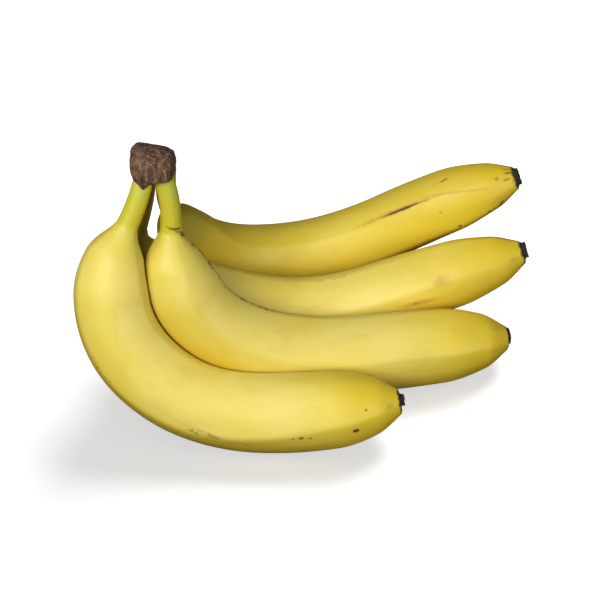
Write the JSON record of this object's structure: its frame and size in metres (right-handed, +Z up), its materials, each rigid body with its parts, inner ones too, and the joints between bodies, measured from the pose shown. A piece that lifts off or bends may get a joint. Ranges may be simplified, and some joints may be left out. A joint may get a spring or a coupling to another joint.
{
  "type": "bunch of bananas",
  "caption": "Bunch of ripe yellow bananas fanned out from one woody brown crown, lying on its curved bellies with dark dried blossom ends.",
  "frame": {"origin": "on the ground, at the middle of the bunch's box", "axes": "+Z up, +X from the crown's side towards the tips, +Y from the front banana to the back one"},
  "size_m": [0.2072, 0.141, 0.1302],
  "materials": {
    "peel": "waxy ripe banana peel: yellow with paler bellies, greener stalks and a few brown marks",
    "crown": "dry fibrous brown crown with tan flecks",
    "blossom_end": "dried black-brown flower remnant"
  },
  "bodies": {
    "root": {"crown": "crown", "banana_front": "peel", "banana_second": "peel", "banana_third": "peel", "banana_back": "peel", "blossom_end_front": "blossom_end", "blossom_end_second": "blossom_end", "blossom_end_third": "blossom_end", "blossom_end_back": "blossom_end"}
  },
  "joints": []
}
